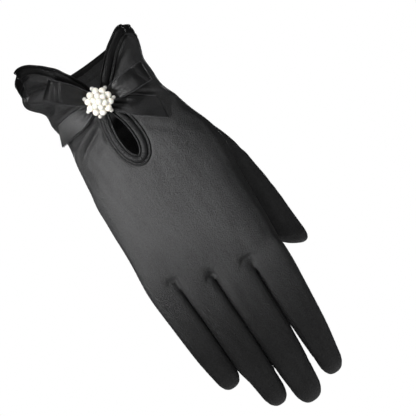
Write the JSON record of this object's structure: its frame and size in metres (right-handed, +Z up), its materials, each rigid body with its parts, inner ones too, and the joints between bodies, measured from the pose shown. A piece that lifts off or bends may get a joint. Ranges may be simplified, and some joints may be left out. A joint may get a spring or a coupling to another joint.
{
  "type": "dress glove",
  "caption": "Wrist-length right-hand dress glove in black satin with a winged cuff, a bound keyhole, a ribbon bow and a pearl cluster.",
  "frame": {"origin": "middle of the wrist, at the height of the bow, on the keyhole's middle line in the front view", "axes": "+Z up the arm with the fingers along -Z, -Y out of the back of the hand, +X to the thumb's side"},
  "size_m": [0.0838, 0.0636, 0.2206],
  "materials": {
    "satin": "black matt satin",
    "binding": "black ribbed bias binding",
    "ribbon": "black satin ribbon with looped edges",
    "pearl": "ivory pearl lustre",
    "backing": "plain"
  },
  "bodies": {
    "root": {"back_panel": "satin", "bow_loop_little_side": "ribbon", "bow_loop_thumb_side": "ribbon", "bow_tail_little_side": "ribbon", "bow_tail_thumb_side": "ribbon", "edge_binding": "binding", "fourchette_index_middle": "satin", "fourchette_middle_ring": "satin", "fourchette_ring_little": "satin", "palm_panel": "satin", "pearl_backing": "backing", "pearl_centre_1": "pearl", "pearl_inner_1": "pearl", "pearl_inner_2": "pearl", "pearl_inner_3": "pearl", "pearl_inner_4": "pearl", "pearl_inner_5": "pearl", "pearl_inner_6": "pearl", "pearl_outer_1": "pearl", "pearl_outer_10": "pearl", "pearl_outer_2": "pearl", "pearl_outer_3": "pearl", "pearl_outer_4": "pearl", "pearl_outer_5": "pearl", "pearl_outer_6": "pearl", "pearl_outer_7": "pearl", "pearl_outer_8": "pearl", "pearl_outer_9": "pearl", "pearl_rim_1": "pearl", "pearl_rim_2": "pearl", "pearl_rim_3": "pearl", "pearl_rim_4": "pearl", "pearl_rim_5": "pearl", "pearl_rim_6": "pearl", "pearl_rim_7": "pearl", "thumb": "satin"}
  },
  "joints": []
}
